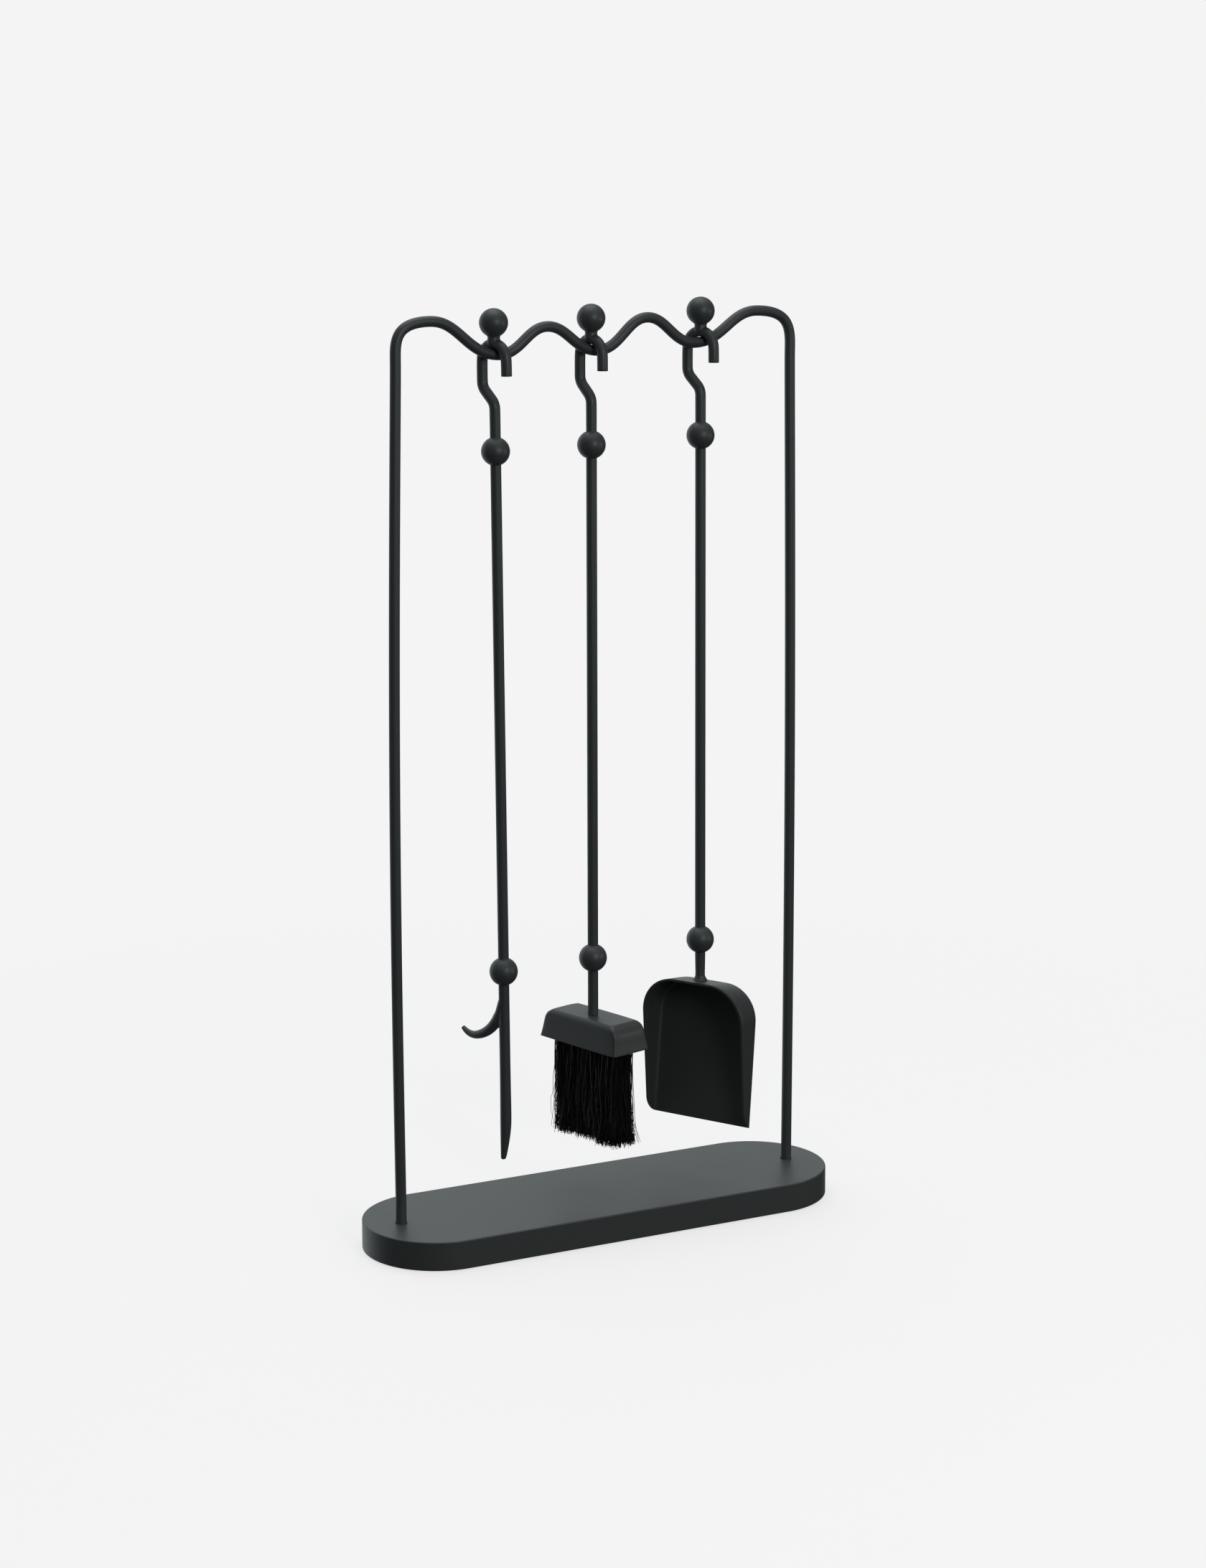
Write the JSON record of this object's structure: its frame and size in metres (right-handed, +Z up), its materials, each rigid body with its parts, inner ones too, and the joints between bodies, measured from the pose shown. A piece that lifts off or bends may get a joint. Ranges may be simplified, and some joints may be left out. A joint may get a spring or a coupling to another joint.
{
  "type": "fireplace tool set",
  "caption": "Free-standing rack of bent rod on a round-ended floor plate, from which a poker, a brush and a shovel hang by open hooks and lift off for tending a fire.",
  "frame": {"origin": "on the floor, under the middle of the floor plate (centre of the bounding box's underside)", "axes": "+X runs along the rack from the poker's end to the shovel's end, +Y points to the back, away from the hooks' open tips, +Z is up"},
  "size_m": [0.4536, 0.1354, 0.8317],
  "materials": {
    "rod_coat": "matte black powder coat with a fine texture",
    "plate_coat": "matte black powder coat, smooth",
    "sheet_coat": "matte black powder coat on sheet steel",
    "screw_steel": "zinc-plated steel",
    "insert_brass": "plain brass",
    "pad_rubber": "matte rubber",
    "block_wood": "plain beech",
    "bristle_fibre": "dyed black natural fibre bristle"
  },
  "bodies": {
    "stand": {"base_plate": "plate_coat", "rack_rod": "rod_coat", "left_post_screw": "screw_steel", "left_post_washer": "screw_steel", "right_post_screw": "screw_steel", "right_post_washer": "screw_steel", "front_left_pad": "pad_rubber", "front_right_pad": "pad_rubber", "back_left_pad": "pad_rubber", "back_right_pad": "pad_rubber"},
    "poker": {"poker_finial_ball": "rod_coat", "poker_hook": "rod_coat", "poker_upper_ball": "rod_coat", "poker_lower_ball": "rod_coat", "poker_shaft": "rod_coat", "poker_blade": "rod_coat", "poker_horn": "rod_coat"},
    "brush": {"brush_finial_ball": "rod_coat", "brush_hook": "rod_coat", "brush_upper_ball": "rod_coat", "brush_lower_ball": "rod_coat", "brush_shaft": "rod_coat", "brush_stem": "rod_coat", "brush_cap": "sheet_coat", "brush_block": "block_wood", "brush_insert": "insert_brass", "brush_bristles": "bristle_fibre"},
    "shovel": {"shovel_finial_ball": "rod_coat", "shovel_hook": "rod_coat", "shovel_upper_ball": "rod_coat", "shovel_lower_ball": "rod_coat", "shovel_shaft": "rod_coat", "shovel_stem": "rod_coat", "shovel_pan": "sheet_coat"}
  },
  "joints": [
    {"name": "poker_lift_off", "type": "slide", "parent": "stand", "child": "poker", "axis": [0, 0, 1], "range_m": [0, 0.025]},
    {"name": "brush_lift_off", "type": "slide", "parent": "stand", "child": "brush", "axis": [0, 0, 1], "range_m": [0, 0.025]},
    {"name": "shovel_lift_off", "type": "slide", "parent": "stand", "child": "shovel", "axis": [0, 0, 1], "range_m": [0, 0.025]}
  ]
}
